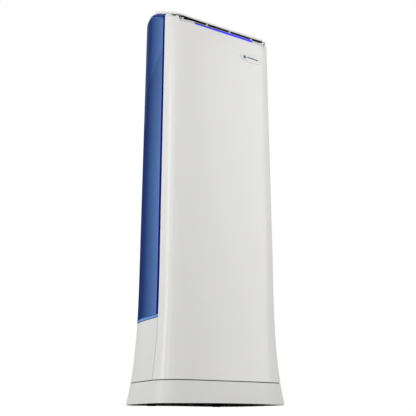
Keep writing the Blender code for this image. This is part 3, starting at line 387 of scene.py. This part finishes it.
def tank_plastic():
    """Translucent blue: a frosted panel inside a deep, clear rim, paler along its foot."""
    m = Mat("tank_blue")
    y, z = m.axis("Y"), m.axis("Z")
    slope = m.math("MULTIPLY_ADD", y, DOME_SLOPE, LIP_Z + LIP_RISE - LIP_Y * DOME_SLOPE)
    top = m.math("SUBTRACT", m.math("SMOOTH_MIN", slope, TOP_Z, 0.012), HOOD_DROP + 0.0016)
    below_top = m.math("SUBTRACT", top, z)
    inside = m.span(y, TANK_Y0 + 0.0105, TANK_Y0 + 0.0125)
    for source, low, high in ((below_top, 0.0165, 0.0195), (z, TANK_LOW + 0.008, TANK_LOW + 0.010)):
        inside = m.math("MULTIPLY", inside, m.span(source, low, high))
    rim = m.ramp(m.span(y, TANK_Y0, TANK_Y1),
                 [(0.0, (0.0, 0.006, 0.18)), (0.07, (0.0, 0.008, 0.19)), (0.10, (0.018, 0.060, 0.27)),
                  (0.60, (0.006, 0.030, 0.17)), (1.0, (0.002, 0.008, 0.085))])
    panel = m.ramp(m.span(y, TANK_Y0, TANK_Y1),
                   [(0.080, (0.100, 0.190, 0.41)), (0.25, (0.069, 0.146, 0.363)),
                    (0.41, (0.047, 0.098, 0.275)), (0.58, (0.014, 0.042, 0.172)),
                    (0.70, (0.009, 0.028, 0.135)), (0.95, (0.002, 0.010, 0.085))])
    # Painted highlight: above a soft diagonal line the panel is drawn 35% lighter; the panel is also drawn
    # up to 30% darker towards the top.
    sheen = m.span(m.math("MULTIPLY_ADD", y, 0.95, z), 0.902, 0.918, 1.0, 1.35)
    sheen = m.math("MULTIPLY", sheen, m.span(z, 0.60, 1.04, 1.0, 0.70))
    panel = m.scaled(panel, sheen)
    tone = m.blend("MIX", inside, rim, panel)
    foot = m.math("MULTIPLY", m.span(z, TANK_LOW + 0.0085, TANK_LOW + 0.0065),
                  m.span(z, TANK_LOW + 0.0004, TANK_LOW + 0.0018))
    tone = m.blend("MIX", foot, tone, m.ramp(m.span(y, TANK_Y0, TANK_Y1),
                   [(0.0, (0.14, 0.30, 0.66)), (0.6, (0.16, 0.34, 0.70)), (1.0, (0.06, 0.16, 0.42))]))
    # Painted highlight lines: pale blue drawn along the inner panel's top edge, up to 65%, and along its
    # front edge, up to half strength.
    line = m.math("MULTIPLY", m.span(below_top, 0.0175, 0.0160), m.span(below_top, 0.0140, 0.0155))
    line = m.math("MULTIPLY", line, m.span(y, TANK_Y0 + 0.010, TANK_Y0 + 0.016, 0.0, 0.65))
    side = m.math("MULTIPLY", m.span(y, TANK_Y0 + 0.0095, TANK_Y0 + 0.0115),
                  m.span(y, TANK_Y0 + 0.0150, TANK_Y0 + 0.0125, 0.0, 0.5))
    side = m.math("MULTIPLY", side, m.span(below_top, 0.016, 0.020))
    pale = m.ramp(m.noise(20.0, 2.0), [(0.3, (0.15, 0.26, 0.56)), (0.7, (0.18, 0.30, 0.60))])
    tone = m.blend("MIX", m.math("MAXIMUM", line, side), tone, pale)
    m.link(tone, m.bsdf.inputs["Base Color"])
    m.link(m.span(m.noise(30.0, 4.0), 0.2, 0.8, 0.20, 0.27), m.bsdf.inputs["Roughness"])
    m.bsdf.inputs["Specular IOR Level"].default_value = 0.0
    m.bsdf.inputs["Coat Weight"].default_value = 0.06
    m.bsdf.inputs["Coat Roughness"].default_value = 0.05
    m.bump(m.noise(260.0, 2.0), 0.02, 0.0002)
    return m.mat


def light_strip(colour, strength):
    """Lit strip whose lit part is thin at its left end and grows to the right."""
    m = Mat("led_blue")
    x, z = m.axis("X"), m.axis("Z")
    edge = m.span(x, -0.100, 0.020, RIM_Z + 0.0030, RIM_Z + 0.0072)
    lit = m.span(m.math("SUBTRACT", edge, z), -0.0003, 0.0003)
    m.link(m.ramp(m.noise(160.0, 2.0), [(0.3, tint(colour, 0.9)), (0.7, colour)]),
           m.bsdf.inputs["Emission Color"])
    m.link(m.ramp(lit, [(0.0, (0.10, 0.10, 0.11)), (1.0, tint(colour, 0.2))]), m.bsdf.inputs["Base Color"])
    m.link(m.math("MULTIPLY", lit, strength), m.bsdf.inputs["Emission Strength"])
    m.bsdf.inputs["Roughness"].default_value = 0.3
    return m.mat


def pad_material():
    """Corrugated cellulose: slanted flutes with a fibrous tone."""
    m = Mat("cellulose")
    wave = m.node("ShaderNodeTexWave", Scale=55.0, Distortion=1.2, Detail=2.0)
    wave.bands_direction = "DIAGONAL"
    m.link(m.coords(), wave.inputs["Vector"])
    m.link(m.ramp(wave.outputs["Fac"], [(0.1, (0.10, 0.06, 0.03)), (0.6, (0.36, 0.25, 0.13)),
                                        (1.0, (0.46, 0.34, 0.19))]), m.bsdf.inputs["Base Color"])
    m.bsdf.inputs["Roughness"].default_value = 0.95
    m.bump(wave.outputs["Fac"], 0.9, 0.003)
    return m.mat


def mesh_material():
    """Fine woven dust mesh."""
    m = Mat("dust_mesh")
    brick = m.node("ShaderNodeTexChecker", Scale=700.0)
    m.link(m.coords(), brick.inputs["Vector"])
    m.link(m.ramp(brick.outputs["Fac"], [(0.0, (0.03, 0.03, 0.035)), (1.0, (0.16, 0.165, 0.17))]),
           m.bsdf.inputs["Base Color"])
    m.bsdf.inputs["Roughness"].default_value = 0.8
    m.bump(brick.outputs["Fac"], 0.4, 0.0004)
    return m.mat


def metal(name, colour, rough=0.3, brushed=True):
    m = Mat(name)
    m.bsdf.inputs["Metallic"].default_value = 1.0
    streak = m.noise(60.0, 6.0, (1, 30, 1) if brushed else (1, 1, 1))
    m.link(m.ramp(streak, [(0.3, tint(colour, 0.85)), (0.7, colour)]), m.bsdf.inputs["Base Color"])
    m.link(m.span(streak, 0.2, 0.8, rough * 0.8, rough * 1.3), m.bsdf.inputs["Roughness"])
    m.bump(streak, 0.06, 0.0002)
    return m.mat


# ---------------------------------------------------------------- shell pieces

def flare_levels(z0, z1, steps=16):
    upper = min(z1, FLARE_TOP)
    out = [z0 + (upper - z0) * (i / steps) ** 1.25 for i in range(steps + 1)]
    if z1 > upper:
        out += [z1]
    return out


def edge_height(theta):
    x, y, nx, ny = plan(theta, 0.6)
    w, climb = flank_weight(nx, ny), corner_rise(nx, ny)
    under_hood = dome(y) - HOOD_LIP - (HOOD_DROP - HOOD_LIP) * w - 0.0006
    return RIM_Z * (1.0 - climb) + climb * under_hood, w


def build_shell(name, arc, mat, steps=8):
    outer, inner = [], []
    for z in flare_levels(SHELL_LOW, 0.92):
        outer.append([(*plan(t, z)[:2], z) for t in arc])
        inner.append([(*plan(t, z, WALL)[:2], z) for t in arc])
    for k in range(steps + 1):
        row_o, row_i = [], []
        a = math.pi / 2 * k / steps
        for t in arc:
            edge, w = edge_height(t)
            depth = SHOULDER * w + (1.0 - w) * 0.0145
            z = edge - depth + SHOULDER * math.sin(a) * w + (1.0 - w) * 0.0145 * k / steps
            inset = w * SHOULDER * (1.0 - math.cos(a))
            b = a * w
            row_o.append((*plan(t, 0.6, inset)[:2], z))
            row_i.append((*plan(t, 0.6, inset + WALL * math.cos(b))[:2], z - WALL * math.sin(b)))
        outer.append(row_o)
        inner.append(row_i)
    return wall(name, outer, inner, mat, False, 35)


def build_hood(mat):
    size = (HALF_WIDTH - HOOD_INSET, DEPTH_FRONT - 0.0008, DEPTH_REAR - HOOD_INSET)
    ring, centre = FULL_RING, HOOD_MID_Y

    def edge(inset, below):
        row = []
        for t in ring:
            x, y, nx, ny = plan(t, 0.6, inset, size)
            row.append((x, y, dome(y) - below(flank_weight(nx, ny))))
        return row

    def drop(w):
        return HOOD_LIP + (HOOD_DROP - HOOD_LIP) * w

    def scaled(s, inset, lower):
        row = []
        for t in ring:
            x, y, _, _ = plan(t, 0.6, inset, size)
            x, y = x * s, centre + (y - centre) * s
            row.append((x, y, dome(y) - lower))
        return row

    rows = [edge(0.0006, lambda w: drop(w)), edge(0.0, lambda w: drop(w) - 0.0006)]
    for k in range(6):
        a = math.pi / 2 * k / 5
        rows.append(edge(0.0026 * (1 - math.cos(a)), lambda w, a=a: 0.0026 * (1 - math.sin(a))))
    scales = [0.97, 0.92, 0.86, 0.79, 0.72, 0.64, 0.56, 0.48, 0.42, 0.37, 0.33, 0.30, 0.275, 0.25,
              0.225, 0.19, 0.15]
    rows += [scaled(s, 0.0026, 0.0) for s in scales]
    under = [scaled(s, 0.0026, WALL) for s in (0.15, 0.225, 0.275, 0.33, 0.42, 0.64, 0.86)]
    under += [edge(0.0032, lambda w: 0.0040), edge(0.0030, drop)]
    verts, faces, n = [], [], len(ring)
    starts = []
    for row in rows:
        starts.append(len(verts))
        verts += row
    tip = len(verts)
    verts += [(0, centre, dome(centre)), (0, centre, dome(centre) - WALL)]
    for row in under:
        starts.append(len(verts))
        verts += row

    def band(a, b):
        for i in range(n):
            j = (i + 1) % n
            faces.append((a + i, a + j, b + j, b + i))

    for k in range(len(rows) - 1):
        band(starts[k], starts[k + 1])
    for k in range(len(rows), len(starts) - 1):
        band(starts[k], starts[k + 1])
    band(starts[-1], starts[0])
    for i in range(n):
        j = (i + 1) % n
        faces.append((starts[len(rows) - 1] + i, starts[len(rows) - 1] + j, tip))
        faces.append((starts[len(rows)] + i, starts[len(rows)] + j, tip + 1))
    return make("hood_skin", verts, faces, mat, 35)


def tank_top(y, inset):
    return dome(y) - HOOD_DROP - GAP - 0.0012 - inset


def tank_grid(inset, inner_x, stations=49):
    """Columns of points across the tank, from its outer skin to its inner side."""
    ys = np.linspace(TANK_Y0 + inset, TANK_Y1 - inset, stations)
    outer, inner = [], []
    radius = SHOULDER + 0.0010
    for y in map(float, ys):
        out_col, in_col = [], []
        for z in flare_levels(TANK_LOW + inset, FLARE_TOP + 0.001, 6):
            out_col.append((side_x(y, z) + inset * 1.25, y, z))
            in_col.append((inner_x, y, z))
        x_face = side_x(y, 0.6) + inset * 1.25
        for k in range(9):
            a = math.pi / 2 * k / 8
            z = tank_top(y, inset) - radius + radius * math.sin(a)
            out_col.append((x_face + radius * (1 - math.cos(a)), y, z))
            in_col.append((inner_x, y, z))
        outer.append(out_col)
        inner.append(in_col)
    return outer, inner


def on_front(points, lift):
    """Points (x, z) laid on the front face, lifted off it."""
    return [(x, front_y(x) - lift, z) for x, z in points]


def oval(cx, cz, rx, rz, seg=48):
    return [(cx + rx * math.cos(2 * math.pi * i / seg), cz + rz * math.sin(2 * math.pi * i / seg))
            for i in range(seg)]


def plate(name, outline, low, high, mat, crown=0.0):
    """Thin plate that follows the front face, with a softly rounded rim."""
    n = len(outline)
    cx = sum(p[0] for p in outline) / n
    cz = sum(p[1] for p in outline) / n

    def ring(s, lift):
        return on_front([(cx + (x - cx) * s, cz + (z - cz) * s) for x, z in outline], lift)

    rows = [ring(1.0, low), ring(1.0, high * 0.75), ring(0.985, high), ring(0.6, high + crown * 0.7)]
    verts = [p for row in rows for p in row] + on_front([(cx, cz)], high + crown)
    verts += on_front([(cx, cz)], low)
    faces = []
    for k in range(len(rows) - 1):
        faces += [(k * n + i, k * n + (i + 1) % n, (k + 1) * n + (i + 1) % n, (k + 1) * n + i)
                  for i in range(n)]
    tip = len(rows) * n
    faces += [((len(rows) - 1) * n + i, (len(rows) - 1) * n + (i + 1) % n, tip) for i in range(n)]
    faces += [(i, (i + 1) % n, tip + 1) for i in range(n)]
    return make(name, verts, faces, mat, 40)


def build_outlet_end(name, side, mat):
    """Thin dark strip of painted shade at the end of the outlet, carried round the corner under the hood's
    edge where the outlet's gap is shaded.
    """
    first, last = 0.1400, 0.1635 if side < 0 else 0.1500
    arc = [t for t in spread(math.pi + SEAM_ANGLE, 1.5 * math.pi, 1.2, 0.004)
           if first <= abs(plan(t, 0.6)[0]) <= last]
    rows = [[], []]
    for t in arc:
        x, y, nx, ny = plan(t, 0.6, -0.0004)
        w = flank_weight(nx, ny)
        top = dome(y) - HOOD_LIP - (HOOD_DROP - HOOD_LIP) * w
        k = (last - abs(x)) / (last - first)
        depth = 0.0008 + 0.0040 * max(0.0, min(1.0, k))
        rows[0].append((-side * x, y, top - depth))
        rows[1].append((-side * x, y, top - 0.0002))
    inner = [[(x - math.copysign(0.0009, x), y + 0.0009, z) for x, y, z in row] for row in rows]
    return wall(name, rows, inner, mat, False, 40)


def build_skirt(mat):
    def low(x):
        return SKIRT_LOW - 0.0016 + 0.0010 * max(0.0, 1.0 - (x / 0.13) ** 2)
    outer, inner = [], []
    levels = [SKIRT_LOW] + [SKIRT_LOW + (SKIRT_TOP - SKIRT_LOW) * i / 10 for i in range(1, 11)]
    for k, z in enumerate(levels):
        pairs = []
        for inset in (0.0, WALL):
            pairs.append([(*(p := plan(t, z, inset))[:2], low(p[0]) if k == 0 else z)
                          for t in FULL_RING])
        outer.append(pairs[0])
        inner.append(pairs[1])
    return wall("skirt_skin", outer, inner, mat, True, 40)


# ---------------------------------------------------------------- build

WHITE = plastic("shell_white", (0.79, 0.785, 0.765), 0.24, 0.010, 1400.0, 0.02, coat=0.22)
WHITE_REAR = plastic("rear_white", (0.76, 0.757, 0.742), 0.40, 0.015, 1100.0, 0.06)
WHITE_FOOT = plastic("skirt_white", (0.76, 0.757, 0.745), 0.38, 0.015, 1100.0, 0.05)
WHITE_HOOD = plastic("hood_white", (0.82, 0.82, 0.81), 0.32, 0.012, 1400.0, 0.03, coat=0.15)
GREY_MOUTH = plastic("mouth_grey", (0.60, 0.61, 0.63), 0.42)
# Painted shade: near-black strips stand in for the shaded gap at the outlet's ends.
OUTLET_SHADE = plastic("outlet_end_painted_shade", (0.14, 0.135, 0.12), 0.45)

front = build_shell("front_skin", FRONT_ARC, WHITE)
soften(front, 0.0007)
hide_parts("front_shell")
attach(front, "body")

rear_arc = REAR_ARC[:]
rear_arc[0] += SEAM_TURN
rear_arc[-1] -= SEAM_TURN
rear = build_shell("rear_skin", rear_arc, WHITE_REAR)
carve(rear, boxes("rear_cut", [
    (-0.30, -0.1200, -0.12, TANK_Y1 + 0.0006, TANK_LOW - 0.0006, 1.30),
    GRILLE_WINDOW, INLET_WINDOW]))
soften(rear, 0.0006)
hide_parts("rear_shell")
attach(rear, "body")

skirt = build_skirt(WHITE_FOOT)
carve(skirt, lathe("plug_cut", [(0, 0.10), (PLUG_HOLE, 0.10), (PLUG_HOLE, 0.20), (0, 0.20)],
                   (PLUG_X, 0, PLUG_Z), "Y"))
soften(skirt, 0.0008)
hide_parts("base_skirt")
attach(skirt, "body")

hood = build_hood(WHITE_HOOD)
for i, x in enumerate(BUTTON_XS):
    carve(hood, lathe(f"hood_cut_{i}", [(0, 0.05), (BUTTON_HOLE, 0.05), (BUTTON_HOLE, 0.2), (0, 0.2)],
                      (x, BUTTON_Y, 1.0), "Z", seg=32))
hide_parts("hood")
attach(hood, "body")

TANK_BLUE = tank_plastic()
tank = wall("tank_skin", *tank_grid(0.0, TANK_IN), TANK_BLUE, False, 40)
carve(tank, wall("tank_cut", *tank_grid(TANK_WALL, TANK_IN + 0.010), None, False, None))
soften(tank, 0.0010, 3)
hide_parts("tank_body")
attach(tank, "tank")

cx, cz, rx, rz = BADGE
badge = plate("badge_plate", oval(cx, cz, rx, rz), 0.0003, 0.0016,
              plastic("badge_white", (0.80, 0.80, 0.795), 0.30, 0.02, 600.0, 0.03), 0.0003)
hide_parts("badge")
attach(badge, "body")
mark = [("badge_ring", 0.0066, (0.55, 0.57, 0.60)), ("badge_dot_blue", 0.0046, (0.02, 0.08, 0.42))]
for k, (name, r, colour) in enumerate(mark):
    piece = plate(name, oval(cx - 0.0232, cz - 0.0012, r, r, 28), 0.0016, 0.0020 + 0.0002 * k,
                  plastic(name + "_paint", colour, 0.3, 0.02))
    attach(piece, "body")
piece = plate("badge_dot_green", oval(cx - 0.0208, cz + 0.0006, 0.0024, 0.0024, 20), 0.0021, 0.0025,
              plastic("badge_green", (0.12, 0.45, 0.12), 0.3, 0.02))
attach(piece, "body")
piece = plate("badge_bar", [(cx - 0.0140, cz - 0.0018), (cx + 0.0240, cz - 0.0018),
                            (cx + 0.0240, cz + 0.0018), (cx - 0.0140, cz + 0.0018)],
              0.0018, 0.0022, plastic("badge_dark", (0.08, 0.085, 0.10), 0.35, 0.02))
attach(piece, "body")

# Dark strips of painted shade at both ends of the outlet.
for name, side in (("outlet_shade_left", -1), ("outlet_shade_right", 1)):
    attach(build_outlet_end(name, side, OUTLET_SHADE), "body")

# CAD nodes that are shown as they are
LOOKS = {
    "tank_back": TANK_BLUE,
    "base_pan": plastic("pan_grey", (0.20, 0.205, 0.215), 0.55),
    "foot_1": None, "foot_2": None, "foot_3": None, "foot_4": None,
    "mouth_frame": GREY_MOUTH,
    "led_bar": light_strip((0.012, 0.012, 0.95), 1.0),
    "tank_spout": plastic("fitting_white", (0.74, 0.75, 0.75), 0.45),
    "valve_pin": plastic("seal_black", (0.03, 0.03, 0.03), 0.6),
    "tank_bay": plastic("liner_grey", (0.30, 0.31, 0.33), 0.55),
    "inner_frame": plastic("frame_grey", (0.42, 0.43, 0.45), 0.55),
    "pad_frame": plastic("cassette_grey", (0.50, 0.51, 0.52), 0.5),
    "wet_pad": pad_material(),
    "dust_filter": mesh_material(),
    "rear_grille": plastic("grille_white", (0.75, 0.747, 0.735), 0.4, 0.015, 1100.0, 0.06),
    "distributor": plastic("tray_white", (0.70, 0.71, 0.72), 0.45),
    "riser_hose": plastic("hose_clear", (0.66, 0.70, 0.72), 0.25),
    "pump_body": plastic("pump_black", (0.04, 0.04, 0.045), 0.45),
    "pump_strainer": plastic("strainer_dark", (0.10, 0.10, 0.11), 0.5),
    "pump_impeller": plastic("impeller_dark", (0.12, 0.12, 0.13), 0.5),
    "float_bracket": plastic("bracket_black", (0.06, 0.06, 0.06), 0.55),
    "float_arm": plastic("float_orange", (0.72, 0.30, 0.05), 0.55),
    "fan_deck": plastic("deck_grey", (0.30, 0.31, 0.32), 0.55),
    "fan_wheel": plastic("wheel_black", (0.05, 0.05, 0.055), 0.45),
    "fan_motor": metal("motor_can", (0.50, 0.51, 0.53), 0.32),
    "motor_bracket": metal("bracket_zinc", (0.62, 0.63, 0.64), 0.38),
    "air_guide": plastic("guide_grey", (0.40, 0.41, 0.42), 0.55),
    "control_panel": plastic("panel_black", (0.02, 0.02, 0.024), 0.12, 0.05, 900.0, 0.0, coat=0.4),
    "control_board": plastic("board_green", (0.02, 0.16, 0.07), 0.45),
    "board_carrier": plastic("carrier_black", (0.06, 0.06, 0.06), 0.55),
    "power_box": plastic("power_black", (0.05, 0.05, 0.05), 0.5),
    "power_inlet": plastic("inlet_black", (0.03, 0.03, 0.03), 0.4),
    "mains_lead": plastic("lead_black", (0.03, 0.03, 0.03), 0.6),
    "drain_plug": plastic("plug_grey", (0.30, 0.31, 0.32), 0.7),
}
RUBBER = plastic("foot_rubber", (0.03, 0.03, 0.03), 0.85, 0.1, 500.0, 0.2)
KEY = plastic("button_grey", (0.55, 0.56, 0.58), 0.35)
for name, node in NODES.items():
    mat = LOOKS.get(name) or (KEY if name.startswith("button") else RUBBER)
    if name == "tank_socket" or name == "tank_cap":
        mat = LOOKS["tank_spout"]
    node.data.materials.clear()
    node.data.materials.append(mat)
for name in ("mouth_frame", "control_panel", "power_box", "pad_frame", "tank_bay"):
    soften(NODES[name], 0.0004)


# ---------------------------------------------------------------- stage, light, camera

def build_floor():
    """Pale floor. Its underside lets light through, as the camera stands a little below it."""
    floor = make("floor", [(-8, -8, 0), (8, -8, 0), (8, 8, 0), (-8, 8, 0)], [(0, 1, 2, 3)], None, None)
    floor.location.z = -0.0003
    m = Mat("floor_paint")
    m.link(m.ramp(m.noise(3.0, 3.0), [(0.3, (0.895, 0.895, 0.895)), (0.7, (0.905, 0.905, 0.905))]),
           m.bsdf.inputs["Base Color"])
    m.bsdf.inputs["Roughness"].default_value = 0.75
    m.bsdf.inputs["Specular IOR Level"].default_value = 0.0
    # Painted light: the floor glows, rising from none within 1 m of the centre to 0.45 at 3 m and beyond.
    away = m.math("ADD", m.math("POWER", m.axis("X"), 2.0), m.math("POWER", m.axis("Y"), 2.0))
    m.bsdf.inputs["Emission Color"].default_value = (1.0, 1.0, 1.0, 1.0)
    m.link(m.span(away, 1.0, 9.0, 0.0, 0.45), m.bsdf.inputs["Emission Strength"])
    clear = m.tree.nodes.new("ShaderNodeBsdfTransparent")
    side = m.tree.nodes.new("ShaderNodeNewGeometry")
    mix = m.tree.nodes.new("ShaderNodeMixShader")
    m.link(side.outputs["Backfacing"], mix.inputs["Fac"])
    m.link(m.bsdf.outputs[0], mix.inputs[1])
    m.link(clear.outputs[0], mix.inputs[2])
    m.link(mix.outputs[0], m.tree.nodes["Material Output"].inputs["Surface"])
    floor.data.materials.append(m.mat)


build_floor()


def build_world():
    """White backdrop for the camera, and a softer studio all round for the light."""
    world = bpy.data.worlds.new("studio")
    world.use_nodes = True
    tree = world.node_tree
    shown = tree.nodes["Background"]
    shown.inputs["Color"].default_value = (1.0, 1.0, 1.0, 1.0)
    shown.inputs["Strength"].default_value = 1.0
    lit = tree.nodes.new("ShaderNodeBackground")
    lit.inputs["Color"].default_value = (1.0, 1.0, 1.0, 1.0)
    lit.inputs["Strength"].default_value = 0.56
    path = tree.nodes.new("ShaderNodeLightPath")
    mix = tree.nodes.new("ShaderNodeMixShader")
    tree.links.new(path.outputs["Is Camera Ray"], mix.inputs["Fac"])
    tree.links.new(lit.outputs[0], mix.inputs[1])
    tree.links.new(shown.outputs[0], mix.inputs[2])
    tree.links.new(mix.outputs[0], tree.nodes["World Output"].inputs["Surface"])
    bpy.context.scene.world = world


build_world()
bpy.context.scene.view_settings.view_transform = "Standard"


def area(name, location, target, size, power, colour=(1, 1, 1)):
    data = bpy.data.lights.new(name, "AREA")
    data.shape, data.size, data.size_y = "RECTANGLE", size[0], size[1]
    data.energy, data.color = power, colour
    obj = bpy.data.objects.new(name, data)
    obj.location = location
    obj.rotation_mode = "QUATERNION"
    obj.rotation_quaternion = (Vector(target) - Vector(location)).to_track_quat("-Z", "Y")
    bpy.context.scene.collection.objects.link(obj)
    obj.visible_camera = False
    return obj


area("softbox_right", (1.75, -1.95, 1.35), (0, 0, 0.6), (1.15, 2.2), 15)
area("softbox_left", (-2.5, 0.1, 1.15), (-0.1, 0, 0.55), (1.2, 1.7), 14)
area("strip_left", (-2.3, -1.35, 1.3), (-0.1, 0, 0.55), (0.22, 2.2), 7)
area("top_back", (0.4, 1.6, 2.4), (0, 0, 0.8), (1.6, 1.6), 12)

cam_data = bpy.data.cameras.new("camera")
cam_data.sensor_width, cam_data.lens = 36.0, 58.69
cam = bpy.data.objects.new("camera", cam_data)
bpy.context.scene.collection.objects.link(cam)
turn, tilt = math.radians(59.637), math.radians(17.663)
cam.location = (-0.9108, -1.5909, -0.0448)
aim = Vector((math.cos(turn) * math.cos(tilt), math.sin(turn) * math.cos(tilt), math.sin(tilt)))
cam.rotation_mode = "QUATERNION"
cam.rotation_quaternion = aim.to_track_quat("-Z", "Y")
cam_data.clip_start, cam_data.clip_end = 0.05, 60.0
bpy.context.scene.camera = cam
